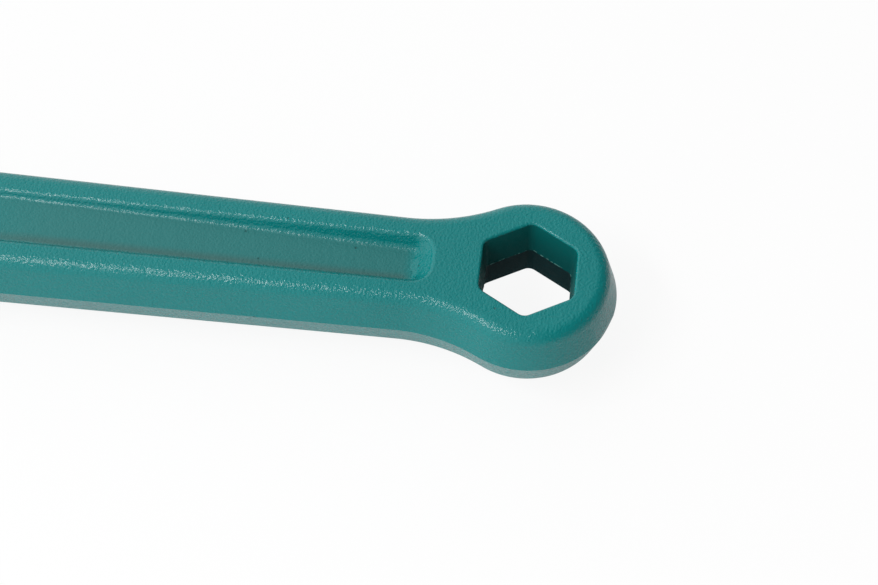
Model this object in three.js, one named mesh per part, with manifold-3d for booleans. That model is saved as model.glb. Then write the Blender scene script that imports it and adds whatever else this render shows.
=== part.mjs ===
// A straight heavy-duty pipe wrench, nominal 350 mm, lying on its side.
//
// One ductile-iron casting is both the I-section handle and the housing of the floating hook jaw.
// A toothed heel jaw is pinned to its head. The hook jaw's threaded shank runs through the housing
// and through a knurled nut in the housing's window, and a coil spring on a flat spring tilts the
// jaw open inside its clearance.
//
// Millimetres. X runs along the handle, from the jaws (-X) to the hanging eye (+X). The jaws open
// to -Y, and Z is the handle's thickness. Pieces are modelled with the centre of the hexagonal
// hole at x = 0, y = 0, z = 0, and the whole group is moved at the end, so that the centre of its
// lowest face is the origin.

import * as THREE from "three";
import { mergeVertices } from "three/addons/utils/BufferGeometryUtils.js";
import Module from "manifold-3d";

const wasm = await Module();
wasm.setup();

// ---------- Driving dimensions ----------

const overallLength = 350; // eye tip to the top of the hook, jaws open by restOpening
const restOpening = 12; // between the teeth at rest, measured next to the shank
const largestOpening = 61;

// Grip and eye of the casting. Widths are at the parting line, half way through the thickness.
const gripThickness = 18.6;
const gripHalfWidth = 12.45; // at the hexagonal hole's centre, if the grip ran on to there
const gripTaper = 0.0131; // growth of that half width per millimetre towards the jaws
const eyeWall = 10; // from the hexagonal hole's flats to the rim, at the parting line
const eyeFillet = 38.5; // concave radius from the grip into the eye
const sideDraft = 14.9; // degrees
const shoulderRadius = 3.2;
const hexAcrossFlats = 18.6; // at the parting line
const hexDraft = 4.4; // degrees
const hexCornerRadius = 1.6;

// Channels of the I section, one on each side.
const channelStart = 20.4; // from the hole's centre to the channel's round end
const channelToNeck = 22.4; // from the channel's end to the neck's full depth
const channelHalfWidth = 5.55;
const channelTaper = 0.006;
const channelCorner = 4.2;
const channelDraft = 25; // degrees
const channelDepthAtEye = 3.6;
const channelDepthAtHead = 0.9;

// Head of the casting. "Down" in the head means along +X, from the heel jaw's teeth to the eye.
const headThickness = 30;
const headInsetShare = 0.5; // how much of the grip's draft and shoulder the head keeps
const headCorner = 6; // radius of the head's corners
const housingWall = 5.6;
const housingBow = 2.5; // how far the back wall's ends curve in
const windowTop = 28; // below the heel jaw's teeth
const windowCorner = 2;
const bridgeLength = 11; // below the window
const collarTop = 5.5; // below the heel jaw's teeth
const neckGap = 1.7; // between the shank's tail and the neck
const headFrontY = -24.5; // the head's front edge, beside the heel jaw

// Hook jaw, its thread and its nut.
const shankY = 24; // the thread's axis, from the handle's centre line
const shankThickness = 13;
const threadRadius = 13;
const threadDepth = 1.8;
const threadPitch = 4;
const threadRootWidth = 2.9;
const threadCrestWidth = 1.4;
const threadStart = 16; // below the hook's teeth
const threadClearance = 0.35;
const threadSides = 22; // facets round the thread
const hookHeight = 30;
const hookTipY = -28;
const hookTipHeight = 12; // of the end face
const hookFoot = 3.5; // below its teeth, where the plain shank begins
const hookChamfer = 1.5;
const jawWidth = 19;
const nutWall = 2.65; // between the thread's groove and the knurl's
const knurlDepth = 1;
const nutLength = 22;
const nutKnurls = 26;
const tailRoom = 4; // beyond the shank's tail, and beyond the nut at the largest opening
const rockAngle = 3; // degrees

// Heel jaw and its pin.
const heelHeight = 14;
const heelBackY = 3.5;
const heelInset = 0.5; // from the head's front edge
const heelChamfer = 1;
const tongueWidth = 11.4;
const tongueThickness = 9;
const tongueLength = 17;
const tongueY = -13;
const pinRadius = 3;
const pinRecess = 0.4; // of its ends below the head's sides
const toothPitch = 2.6;
const toothDepth = 1.3;

// Springs.
const stripThickness = 1;
const stripWidth = 9;
const lipAbove = 1.2; // from the collar's top to the strip's lip
const coilRadius = 3.8;
const coilWire = 1.1;
const coilTurns = 5.5;
const pocketDepth = 10.5;
const pocketBelowTeeth = 21.5;
const rivetRadius = 1.2;
const rivetHeadHeight = 1.2;

const fitGap = 0.3; // between pieces that touch on the real wrench
const runningGap = 0.4; // beside pieces that slide
const pinGap = 0.15; // round the pin and the rivet
const cutRun = 5; // how far a cut runs on past the piece's surface
const weld = 0.5; // how far two solids of one piece run into each other

// ---------- Sizes that follow ----------

const degrees = Math.PI / 180;
const halfGrip = gripThickness / 2;
const eyeRadius = hexAcrossFlats / 2 + eyeWall;
const nutRadius = threadRadius + threadClearance + nutWall + knurlDepth;
const halfHead = headThickness / 2;
const rockSlope = Math.tan(rockAngle * degrees);
const hookTopX = eyeRadius - overallLength;
const heelFaceX = hookTopX + hookHeight + restOpening;
const jawFaceX = heelFaceX - restOpening;
const nutTilt = nutRadius * rockSlope + fitGap; // room that the tilting nut takes at each end
const windowLength = nutLength + 2 * nutTilt;
const windowBottom = windowTop + windowLength;
const nutBelowTeeth = windowTop + windowLength / 2;
const nutX = heelFaceX + nutBelowTeeth;
const windowSide = nutRadius + (nutLength / 2) * rockSlope + fitGap;
const bridgeEnd = windowBottom + bridgeLength;
const backY = shankY + windowSide + housingWall;
const shankFrontY = shankY - threadRadius;
const shankBackY = shankY + threadRadius;
const stripBackY = shankFrontY - fitGap; // the strip's face beside the shank
const stripFrontY = stripBackY - stripThickness;
const collarRock = (nutBelowTeeth - collarTop + lipAbove + stripThickness) * rockSlope;
const passageFrontY = stripFrontY - collarRock - fitGap;
const neckBackY = shankFrontY - neckGap;
const shankLength = nutBelowTeeth + nutLength / 2 + largestOpening + tailRoom; // below the hook's teeth
const neckEnd = heelFaceX + shankLength + tailRoom; // the neck's full depth starts here
const channelEnd = -(neckEnd + channelToNeck);
const seatX = heelFaceX + heelHeight;
const seatBackY = heelBackY + runningGap;
const springX = heelFaceX + pocketBelowTeeth;
const rootRadius = threadRadius - threadDepth;
const pinCentre = [seatX + tongueLength / 2, tongueY, 0];
const springSides = 24; // facets round the coil's pocket and the rivet
const lipX = heelFaceX + collarTop - lipAbove - stripThickness; // the lip's top

// ---------- Materials ----------

const paint = new THREE.MeshStandardMaterial({ color: 0x2c7f7c, roughness: 0.42, metalness: 0 });
const blackenedSteel = new THREE.MeshStandardMaterial({ color: 0x3a3b3d, roughness: 0.5, metalness: 0.9 });
const zincSteel = new THREE.MeshStandardMaterial({ color: 0xa9abad, roughness: 0.4, metalness: 1 });
const springSteel = new THREE.MeshStandardMaterial({ color: 0x6c6e70, roughness: 0.35, metalness: 1 });

// ---------- Solids ----------

// A geometry as a manifold solid, with only its positions kept and its vertices merged.
function solid(geometry) {
  const bare = geometry.clone();
  for (const name of ["normal", "uv"]) bare.deleteAttribute(name);
  const merged = mergeVertices(bare, 1e-4);
  return new wasm.Manifold(
    new wasm.Mesh({
      numProp: 3,
      vertProperties: merged.attributes.position.array,
      triVerts: new Uint32Array(merged.index.array),
    }),
  );
}

// A named mesh of a manifold solid.
function piece(name, made, material) {
  const { numProp, vertProperties, triVerts } = made.getMesh();
  const positions = new Float32Array((vertProperties.length / numProp) * 3);
  for (let i = 0; i < positions.length / 3; i++) {
    positions.set(vertProperties.subarray(i * numProp, i * numProp + 3), i * 3);
  }
  const geometry = new THREE.BufferGeometry();
  geometry.setAttribute("position", new THREE.BufferAttribute(positions, 3));
  geometry.setIndex(new THREE.BufferAttribute(triVerts, 1));
  geometry.computeVertexNormals();
  const mesh = new THREE.Mesh(geometry, material);
  mesh.name = name;
  return mesh;
}

// A box between two corners.
function block(x0, x1, y0, y1, z0, z1) {
  const geometry = new THREE.BoxGeometry(x1 - x0, y1 - y0, z1 - z0);
  return solid(geometry.translate((x0 + x1) / 2, (y0 + y1) / 2, (z0 + z1) / 2));
}

// A cylinder between two points of one axis, "x", "y" or "z".
function rod(axis, from, to, radius, centre, sides = 36, endRadius = radius) {
  const geometry = new THREE.CylinderGeometry(endRadius, radius, to - from, sides);
  geometry.translate(0, (from + to) / 2, 0);
  if (axis === "x") geometry.rotateZ(-Math.PI / 2);
  if (axis === "z") geometry.rotateX(Math.PI / 2);
  return solid(geometry.translate(...centre));
}

// A flat outline extruded along Z about z = 0, with its edges chamfered.
function plate(shape, thickness, chamfer = 0) {
  const geometry = new THREE.ExtrudeGeometry(shape, {
    depth: thickness - 2 * chamfer,
    bevelEnabled: chamfer > 0,
    bevelThickness: chamfer,
    bevelSize: chamfer,
    bevelOffset: -chamfer,
    bevelSegments: 1,
    curveSegments: 10,
  });
  return solid(geometry.translate(0, 0, chamfer - thickness / 2));
}

// The ring of points of an outline given as two chains that start at the same tip: the back
// chain first, and then the front chain from its far end to the tip.
function ringOf(back, front) {
  return [...back, ...front.slice(1).reverse()];
}

// An outline point moved inwards along the mean normal of its two edges.
function insetPoint(ring, k, inset) {
  const before = ring[(k + ring.length - 1) % ring.length];
  const after = ring[(k + 1) % ring.length];
  const here = ring[k];
  const a = new THREE.Vector2(here.y - before.y, before.x - here.x).normalize();
  const b = new THREE.Vector2(after.y - here.y, here.x - after.x).normalize();
  const normal = a.clone().add(b).multiplyScalar(1 / (1 + a.dot(b)));
  return here.clone().addScaledVector(normal, -inset);
}

// Triangles that join two chains running the same way along -X, each step taking the nearer point.
function zipped(back, front) {
  const ringLength = back.length + front.length - 1;
  const frontIndex = (j) => (j === 0 ? 0 : ringLength - j);
  const triangles = [];
  let i = 0;
  let j = 1;
  while (i < back.length - 1 || j < front.length - 1) {
    const stepBack =
      j === front.length - 1 || (i < back.length - 1 && back[i + 1].x > front[j + 1].x);
    if (stepBack) triangles.push([i, i + 1, frontIndex(j)]);
    else triangles.push([i, frontIndex(j + 1), frontIndex(j)]);
    if (stepBack) i += 1;
    else j += 1;
  }
  return triangles;
}

// A solid whose outline is drawn in at each level, as a pattern maker's draft and radii do.
// A level is a pair of functions of x: how far the outline moves in, and how high it lies.
function loft(back, front, levels) {
  const ring = ringOf(back, front);
  const positions = [];
  for (const [inset, height] of levels) {
    ring.forEach((point, k) => {
      const at = insetPoint(ring, k, inset(point.x));
      positions.push(at.x, at.y, height(point.x));
    });
  }
  const n = ring.length;
  const top = (levels.length - 1) * n;
  const faces = [];
  for (let level = 0; level < levels.length - 1; level++) {
    for (let k = 0; k < n; k++) {
      const a = level * n + k;
      const b = level * n + ((k + 1) % n);
      faces.push(a, b, b + n, a, b + n, a + n);
    }
  }
  for (const [a, b, c] of zipped(back, front)) {
    faces.push(c, b, a);
    faces.push(top + a, top + b, top + c);
  }
  const geometry = new THREE.BufferGeometry();
  geometry.setAttribute("position", new THREE.Float32BufferAttribute(positions, 3));
  geometry.setIndex(faces);
  return solid(geometry);
}

// The points of a path, without repeats.
function pointsOf(path, divisions) {
  const points = path.getPoints(divisions);
  return points.filter((p, k) => k === 0 || p.distanceTo(points[k - 1]) > 0.05);
}

const mirrored = (chain) => chain.map((p) => new THREE.Vector2(p.x, -p.y));

// 0 before one place, 1 after the other, and smooth between them.
const blend = (x, from, to) => THREE.MathUtils.smoothstep((x - from) / (to - from), 0, 1);

// The thread's ridge, larger all round by a clearance when it cuts the nut's groove: a bar of
// trapezoid section along a right-hand helix. It is a straight box, bent round the shank's axis.
function thread(from, to, clearance) {
  const innerRadius = rootRadius - weld;
  const turns = (to - from) / threadPitch;
  const geometry = new THREE.BoxGeometry(1, 1, 1, 1, Math.ceil(turns * threadSides), 1);
  geometry.translate(0.5, 0.5, 0);
  const position = geometry.attributes.position;
  for (let i = 0; i < position.count; i++) {
    const outwards = position.getX(i);
    const turn = position.getY(i) * turns;
    const radius = THREE.MathUtils.lerp(innerRadius, threadRadius + clearance, outwards);
    const width = THREE.MathUtils.lerp(threadRootWidth, threadCrestWidth, outwards) + 2 * clearance;
    const angle = 2 * Math.PI * (turn + (from - nutX) / threadPitch);
    const along = from + turn * threadPitch + position.getZ(i) * width;
    position.setXYZ(i, along, shankY + radius * Math.cos(angle), radius * Math.sin(angle));
  }
  return solid(geometry);
}

// Saw teeth to cut out of a jaw's face: one triangular groove for each tooth, along Z.
function toothComb(fromY, toY, direction) {
  const shape = new THREE.Shape();
  const count = Math.floor((toY - fromY) / toothPitch);
  shape.moveTo(-direction, fromY);
  for (let k = 0; k < count; k++) {
    const y = fromY + k * toothPitch;
    shape.lineTo(0, y);
    shape.lineTo(direction * toothDepth, y + toothPitch * 0.3);
  }
  shape.lineTo(0, fromY + count * toothPitch);
  shape.lineTo(-direction, fromY + count * toothPitch);
  return plate(shape, 2 * jawWidth);
}

// ---------- Casting ----------

// Where the grip's straight edge, the concave fillet and the eye's circle meet. The fillet's
// centre is found as if the edge were parallel to X, and the edge then starts at its end.
const filletWidth = gripHalfWidth + gripTaper * 27;
const filletX = -Math.sqrt((eyeRadius - filletWidth) * (eyeRadius + filletWidth + 2 * eyeFillet));
const filletY = filletWidth + eyeFillet;
const eyeTangent = Math.atan2(filletY, filletX);

const gripEdge = (x) => gripHalfWidth - gripTaper * x;
const headShare = (x) => blend(x, -channelEnd - 8, heelFaceX + bridgeEnd);
const thickness = (x) => THREE.MathUtils.lerp(1, halfHead / halfGrip, headShare(x));
const insetShare = (x) => THREE.MathUtils.lerp(1, headInsetShare, headShare(x));

// The start of an edge chain, from the eye's tip round the eye and the fillet to the grip.
function eyeChain(path) {
  path.absarc(0, 0, eyeRadius, 0, eyeTangent, false);
  path.absarc(filletX, filletY, eyeFillet, eyeTangent - Math.PI, -Math.PI / 2, true);
}

// The edge away from the jaws' mouth: grip, neck beside the shank's tail, bridge and back wall.
function backChain() {
  const bridgeX = heelFaceX + bridgeEnd;
  const topX = heelFaceX + collarTop;
  const corner = headCorner;
  const wallY = backY - housingBow;
  const path = new THREE.Path();
  eyeChain(path);
  const neckStart = -channelEnd + 4;
  const ease = (neckStart - neckEnd) / 2;
  path.lineTo(neckStart, gripEdge(neckStart));
  path.bezierCurveTo(
    neckStart - ease, gripEdge(neckStart),
    neckEnd + ease, neckBackY,
    neckEnd, neckBackY,
  );
  path.lineTo(bridgeX + corner, neckBackY);
  path.absarc(bridgeX + corner, neckBackY + corner, corner, -Math.PI / 2, -Math.PI, true);
  path.lineTo(bridgeX, wallY - corner);
  path.absarc(bridgeX - corner, wallY - corner, corner, 0, Math.PI / 2, false);
  path.quadraticCurveTo((bridgeX + topX) / 2, backY + housingBow, topX + corner, wallY);
  path.absarc(topX + corner, wallY - corner, corner, Math.PI / 2, Math.PI, false);
  return pointsOf(path, 6);
}

// The edge on the mouth's side: grip, then out to the heel jaw's seat.
function frontChain() {
  const topX = heelFaceX + collarTop;
  const corner = headCorner;
  const flareStart = heelFaceX + bridgeEnd + 22;
  const flareEnd = seatX + 20;
  const ease = (flareStart - flareEnd) / 2.2;
  const path = new THREE.Path();
  eyeChain(path);
  path.lineTo(flareStart, gripEdge(flareStart));
  path.bezierCurveTo(
    flareStart - ease, gripEdge(flareStart),
    flareEnd + ease, -headFrontY,
    flareEnd, -headFrontY,
  );
  path.lineTo(topX + corner, -headFrontY);
  path.absarc(topX + corner, -headFrontY - corner, corner, Math.PI / 2, Math.PI, false);
  return mirrored(pointsOf(path, 6));
}

// Inset and height of the casting's side, from the parting line up: the straight draft, and then
// the round shoulder, which ends on the flat face.
function sideProfile() {
  const draft = sideDraft * degrees;
  const draftTop = halfGrip - shoulderRadius * (1 - Math.sin(draft));
  const draftInset = draftTop * Math.tan(draft);
  const profile = [[0, 0]];
  const shoulderSteps = 3;
  for (let k = 0; k <= shoulderSteps; k++) {
    const angle = THREE.MathUtils.lerp(draft, Math.PI / 2, k / shoulderSteps);
    profile.push([
      draftInset + shoulderRadius * (Math.cos(draft) - Math.cos(angle)),
      draftTop + shoulderRadius * (Math.sin(angle) - Math.sin(draft)),
    ]);
  }
  return profile;
}

function castingBody() {
  const half = sideProfile();
  const whole = [
    ...half.slice(1).reverse().map(([inset, height]) => [inset, -height]),
    ...half,
  ];
  const levels = whole.map(([inset, height]) => [
    (x) => inset * insetShare(x),
    (x) => height * thickness(x),
  ]);
  return loft(backChain(), frontChain(), levels);
}

// The hexagonal hole: flats across X, corners rounded, narrowest at the parting line.
function hexHole() {
  const apothem = hexAcrossFlats / 2;
  const centreRadius = (apothem - hexCornerRadius) / Math.cos(Math.PI / 6);
  const chain = [new THREE.Vector2(apothem, 0)];
  for (const cornerAngle of [30, 90, 150]) {
    for (const turn of [-30, -15, 0, 15, 30]) {
      const angle = (cornerAngle + turn) * degrees;
      chain.push(
        new THREE.Vector2(
          centreRadius * Math.cos(cornerAngle * degrees) + hexCornerRadius * Math.cos(angle),
          centreRadius * Math.sin(cornerAngle * degrees) + hexCornerRadius * Math.sin(angle),
        ),
      );
    }
  }
  const reach = halfGrip + cutRun;
  const opened = -reach * Math.tan(hexDraft * degrees);
  const levels = [
    [() => opened, () => -reach],
    [() => 0, () => 0],
    [() => opened, () => reach],
  ];
  return loft(chain, mirrored(chain), levels);
}

// One channel of the I section, on the +Z side. It gets shallower towards the head.
function channel() {
  const wide = (x) => channelHalfWidth - channelTaper * x;
  const length = channelEnd - channelStart;
  const depth = (x) =>
    channelDepthAtHead +
    (channelDepthAtEye - channelDepthAtHead) * ((x + channelEnd) / length) ** 1.5;
  const path = new THREE.Path();
  const startX = -channelStart;
  const endX = -channelEnd;
  path.moveTo(startX, 0);
  path.lineTo(startX, wide(startX) - channelCorner);
  path.absarc(startX - channelCorner, wide(startX) - channelCorner, channelCorner, 0, Math.PI / 2, false);
  const steps = 12;
  for (let k = 1; k <= steps; k++) {
    const x = THREE.MathUtils.lerp(startX - channelCorner, endX + channelCorner, k / steps);
    path.lineTo(x, wide(x));
  }
  path.absarc(endX + channelCorner, wide(endX) - channelCorner, channelCorner, Math.PI / 2, Math.PI, false);
  const chain = pointsOf(path, 5);
  const slope = Math.tan(channelDraft * degrees);
  const above = 1;
  return loft(chain, mirrored(chain), [
    [(x) => depth(x) * slope, (x) => halfGrip - depth(x)],
    [() => -above * slope, () => halfGrip + above],
  ]);
}

// The nut's window, through the housing from side to side.
function nutWindow() {
  const corner = windowCorner;
  const x0 = heelFaceX + windowTop;
  const x1 = heelFaceX + windowBottom;
  const y0 = shankY - windowSide;
  const y1 = shankY + windowSide;
  const shape = new THREE.Shape();
  shape.absarc(x1 - corner, y1 - corner, corner, 0, Math.PI / 2, false);
  shape.absarc(x0 + corner, y1 - corner, corner, Math.PI / 2, Math.PI, false);
  shape.absarc(x0 + corner, y0 + corner, corner, Math.PI, 1.5 * Math.PI, false);
  shape.absarc(x1 - corner, y0 + corner, corner, 1.5 * Math.PI, 2 * Math.PI, false);
  return plate(shape, headThickness + 2 * cutRun);
}

// The shank's way through the collar and through the bridge, with room for the jaw to rock.
function shankPassage() {
  const halfHeight = shankThickness / 2 + runningGap;
  const bridgeRock = (bridgeEnd - nutBelowTeeth) * rockSlope;
  const collar = block(
    heelFaceX - cutRun, heelFaceX + windowTop + weld,
    passageFrontY, shankBackY + runningGap,
    -halfHeight, halfHeight,
  );
  const bridge = block(
    heelFaceX + windowBottom - weld, heelFaceX + bridgeEnd + 2 * headCorner,
    shankFrontY - runningGap, shankBackY + bridgeRock + runningGap,
    -halfHeight, halfHeight,
  );
  return collar.add(bridge);
}

function handleCasting() {
  const seat = block(
    heelFaceX - cutRun, seatX,
    headFrontY - cutRun, seatBackY,
    -headThickness, headThickness,
  );
  const tongueSlot = block(
    seatX - weld, seatX + tongueLength + runningGap,
    tongueY - tongueWidth / 2 - fitGap, tongueY + tongueWidth / 2 + fitGap,
    -tongueThickness / 2 - fitGap, tongueThickness / 2 + fitGap,
  );
  const pinHole = rod("z", -headThickness, headThickness, pinRadius + pinGap, pinCentre);
  const pocket = rod(
    "y", passageFrontY - pocketDepth, passageFrontY + weld,
    coilRadius + runningGap, [springX, 0, 0], springSides,
  );
  const oneChannel = channel();
  const cuts = [
    hexHole(), oneChannel, oneChannel.mirror([0, 0, 1]),
    nutWindow(), shankPassage(), seat, tongueSlot, pinHole, pocket,
  ];
  return cuts.reduce((body, cut) => body.subtract(cut), castingBody());
}

// ---------- Heel jaw ----------

// A toothed block on the casting's seat, with a tongue in the slot below it.
function heelJaw() {
  const frontY = headFrontY + heelInset;
  const corner = 2 * heelChamfer;
  const shape = new THREE.Shape();
  shape.moveTo(heelFaceX, heelBackY);
  shape.lineTo(heelFaceX, frontY + corner);
  shape.lineTo(heelFaceX + corner, frontY);
  shape.lineTo(seatX - fitGap, frontY);
  shape.lineTo(seatX - fitGap, heelBackY);
  shape.closePath();
  const tongue = block(
    seatX - heelHeight / 2, seatX + tongueLength,
    tongueY - tongueWidth / 2, tongueY + tongueWidth / 2,
    -tongueThickness / 2, tongueThickness / 2,
  );
  const teeth = toothComb(frontY + 0.75 * corner, heelBackY - weld, 1).translate([heelFaceX, 0, 0]);
  const hole = rod("z", -jawWidth, jawWidth, pinRadius + pinGap, pinCentre);
  return plate(shape, jawWidth, heelChamfer).subtract(teeth).add(tongue).subtract(hole);
}

function heelPin() {
  const half = halfHead - pinRecess;
  return rod("z", -half, half, pinRadius, pinCentre);
}

// ---------- Hook jaw ----------

// The hook's toothed face leans back by the rock angle, so that its teeth meet the heel jaw's
// flat when the jaw has rocked shut. It starts this far in front of the shank.
const rootY = shankFrontY - 2;
const faceAt = (y) => jawFaceX - (rootY - y) * rockSlope;

function hookShape() {
  const x = (belowTeeth) => jawFaceX + belowTeeth;
  const tipY = hookTipY;
  const tipCorner = 2.5;
  const plainFrontY = shankFrontY + fitGap;
  const shape = new THREE.Shape();
  shape.moveTo(faceAt(rootY), rootY);
  shape.lineTo(faceAt(tipY + tipCorner), tipY + tipCorner);
  shape.quadraticCurveTo(faceAt(tipY), tipY, faceAt(tipY) - tipCorner, tipY);
  shape.lineTo(x(-hookTipHeight), tipY);
  shape.bezierCurveTo(
    x(-hookTipHeight - 8), tipY,
    x(-hookHeight), (tipY + rootY) / 2 - 4,
    x(-hookHeight), shankFrontY - 4,
  );
  shape.bezierCurveTo(
    x(-hookHeight), shankY,
    x(-0.8 * hookHeight), shankBackY,
    x(-0.25 * hookHeight), shankBackY,
  );
  shape.lineTo(x(hookFoot), shankBackY);
  shape.lineTo(x(hookFoot), plainFrontY);
  shape.quadraticCurveTo(x(0), plainFrontY, faceAt(rootY), rootY);
  return shape;
}

function hookTeeth() {
  return toothComb(hookTipY + 3, rootY - 2, -1)
    .translate([0, -rootY, 0])
    .rotate([0, 0, -rockAngle])
    .translate([jawFaceX, rootY, 0]);
}

// The shank: a flat bar with thread on its two narrow edges only.
function shank() {
  const tailX = jawFaceX + shankLength;
  const startX = jawFaceX + threadStart;
  const half = shankThickness / 2;
  const core = rod("x", startX - weld, tailX, rootRadius, [0, shankY, 0], threadSides);
  const ridge = thread(startX - threadPitch, tailX + threadPitch, 0);
  const slab = block(startX, tailX, shankFrontY - weld, shankBackY + weld, -half, half);
  const plain = block(
    jawFaceX - hookHeight / 4, startX + weld,
    shankFrontY + fitGap, shankBackY - fitGap,
    -half, half,
  );
  return core.add(ridge).intersect(slab).add(plain);
}

function hookJaw() {
  return plate(hookShape(), jawWidth, hookChamfer).subtract(hookTeeth()).add(shank());
}

// ---------- Adjusting nut ----------

// The knurl's outline repeats a land and a groove: shares of one step, and whether it is cut in.
const knurl = [[-0.25, false], [0.25, false], [0.41, true], [0.59, true]];

function adjustingNut() {
  const from = nutX - nutLength / 2;
  const to = nutX + nutLength / 2;
  const step = (2 * Math.PI) / nutKnurls;
  const points = [];
  for (let k = 0; k < nutKnurls; k++) {
    for (const [share, cut] of knurl) {
      const radius = cut ? nutRadius - knurlDepth : nutRadius;
      const angle = (k + share) * step;
      points.push(new THREE.Vector2(radius * Math.cos(angle), radius * Math.sin(angle)));
    }
  }
  const blank = plate(new THREE.Shape(points), nutLength, 1.5 * knurlDepth);
  const boreRadius = rootRadius + 1.5 * threadClearance;
  const bore = rod("x", from - cutRun, to + cutRun, boreRadius, [0, shankY, 0], threadSides);
  return blank
    .rotate([0, 90, 0])
    .translate([nutX, shankY, 0])
    .subtract(bore)
    .subtract(thread(from - threadPitch, to + threadPitch, threadClearance));
}

// ---------- Springs ----------

// A steel strip along the shank's front edge, with a lip over the collar and the coil riveted to it.
function flatSpring() {
  const half = stripWidth / 2;
  const bottomX = heelFaceX + windowTop - nutTilt / 2;
  const strip = block(lipX, bottomX, stripFrontY, stripBackY, -half, half);
  const lip = block(lipX, lipX + stripThickness, passageFrontY - stripThickness, stripBackY, -half, half);
  const hole = rod(
    "y", stripFrontY - weld, stripBackY + weld,
    rivetRadius + pinGap, [springX, 0, 0], springSides,
  );
  return strip.add(lip).subtract(hole);
}

function springRivet() {
  const place = [springX, 0, 0];
  const headFrom = stripFrontY - rivetHeadHeight;
  const headRadius = coilRadius - coilWire - runningGap;
  const shaft = rod("y", headFrom, stripBackY, rivetRadius, place, springSides);
  const head = rod("y", headFrom, stripFrontY - pinGap, 0.7 * headRadius, place, springSides, headRadius);
  return shaft.add(head);
}

class Coil extends THREE.Curve {
  constructor(radius, fromY, toY, turns) {
    super();
    Object.assign(this, { radius, fromY, toY, turns });
  }
  getPoint(t, target = new THREE.Vector3()) {
    const angle = 2 * Math.PI * this.turns * t;
    return target.set(
      springX + this.radius * Math.cos(angle),
      THREE.MathUtils.lerp(this.fromY, this.toY, t),
      this.radius * Math.sin(angle),
    );
  }
}

function coilSpring() {
  const wire = new THREE.Shape().absarc(0, 0, coilWire / 2, 0, 2 * Math.PI, false);
  const low = passageFrontY - pocketDepth + fitGap + coilWire / 2;
  const high = stripFrontY - fitGap - coilWire / 2;
  const path = new Coil(coilRadius - coilWire / 2, low, high, coilTurns);
  const geometry = new THREE.ExtrudeGeometry(wire, {
    steps: Math.round(coilTurns * 12),
    extrudePath: path,
    curveSegments: 4,
    bevelEnabled: false,
  });
  return solid(geometry);
}

// ---------- Wrench ----------

const wrench = new THREE.Group();
wrench.add(
  piece("handle", handleCasting(), paint),
  piece("heel_jaw", heelJaw(), blackenedSteel),
  piece("heel_jaw_pin", heelPin(), zincSteel),
  piece("hook_jaw", hookJaw(), blackenedSteel),
  piece("adjusting_nut", adjustingNut(), blackenedSteel),
  piece("flat_spring", flatSpring(), springSteel),
  piece("coil_spring", coilSpring(), springSteel),
  piece("spring_rivet", springRivet(), zincSteel),
);
const box = new THREE.Box3().setFromObject(wrench);
wrench.position.set(-(box.min.x + box.max.x) / 2, -(box.min.y + box.max.y) / 2, -box.min.z);

export default wrench;
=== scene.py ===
# A straight pipe wrench: a cast handle and housing, a pinned heel jaw, and a hook jaw whose
# threaded shank runs through a knurled nut. Shapes are drawn in millimetres from the middle of
# the hexagonal hole in the handle's eye, and become metres in the frame as each mesh is made.

import math

import bmesh
import bpy
from mathutils import Matrix, Vector, noise


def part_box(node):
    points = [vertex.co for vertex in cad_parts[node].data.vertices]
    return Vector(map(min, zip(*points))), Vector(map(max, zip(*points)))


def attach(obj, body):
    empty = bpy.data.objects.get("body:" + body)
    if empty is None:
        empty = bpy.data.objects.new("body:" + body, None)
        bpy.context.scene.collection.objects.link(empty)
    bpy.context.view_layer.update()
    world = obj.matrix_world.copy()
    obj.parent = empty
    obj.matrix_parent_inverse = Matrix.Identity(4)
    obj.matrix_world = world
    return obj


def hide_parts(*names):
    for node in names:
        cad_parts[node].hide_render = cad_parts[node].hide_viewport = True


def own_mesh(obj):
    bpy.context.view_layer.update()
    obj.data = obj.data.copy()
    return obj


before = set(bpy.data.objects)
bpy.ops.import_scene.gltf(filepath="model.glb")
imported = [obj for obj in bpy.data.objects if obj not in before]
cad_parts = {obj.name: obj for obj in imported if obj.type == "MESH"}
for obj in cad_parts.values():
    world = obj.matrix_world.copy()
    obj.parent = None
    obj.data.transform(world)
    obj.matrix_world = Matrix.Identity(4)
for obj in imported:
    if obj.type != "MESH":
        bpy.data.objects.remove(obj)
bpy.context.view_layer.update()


# ---------- Casting ----------
# Ductile iron, sand cast in two halves that part at mid-thickness: the hanging eye, the I-section
# grip, the neck and the housing are one piece. Each half has draft, a round shoulder and a channel.

MM = 0.001
EYE_RADIUS = 19.3
EYE_FILLET = 38.5
HEAD_FRONT = 24.5
GRIP_HALF_WIDTH = 12.45
GRIP_TAPER = 0.0131
GRIP_HALF_THICKNESS = 9.3
SIDE_DRAFT = 14.9
SHOULDER = 3.2
HEAD_CORNER = 6
HEAD_INSET_SHARE = 0.5
HOUSING_BOW = 2.5
COLLAR_TOP = 5.5
BRIDGE_END = 63.38
NECK_START = -142
NECK_END = -168.41
NECK_BACK = 9.3
NECK_RUN_IN = 12
CUT_RUN = 5

handle_low, handle_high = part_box("handle")
hole = Vector((
    handle_high.x - EYE_RADIUS * MM,
    handle_low.y + HEAD_FRONT * MM,
    (handle_low.z + handle_high.z) / 2,
))


def box_of(node):
    """A node's lowest and highest corners, in millimetres from the hexagonal hole's middle."""
    return [(corner - hole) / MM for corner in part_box(node)]


def solid(name, points, faces):
    """A mesh object of points in millimetres, with its faces pointing out."""
    mesh = bpy.data.meshes.new(name)
    mesh.from_pydata([hole + Vector(point) * MM for point in points], [], faces)
    shape = bmesh.new()
    shape.from_mesh(mesh)
    bmesh.ops.recalc_face_normals(shape, faces=shape.faces)
    shape.to_mesh(mesh)
    shape.free()
    made = bpy.data.objects.new(name, mesh)
    bpy.context.scene.collection.objects.link(made)
    return made


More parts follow.
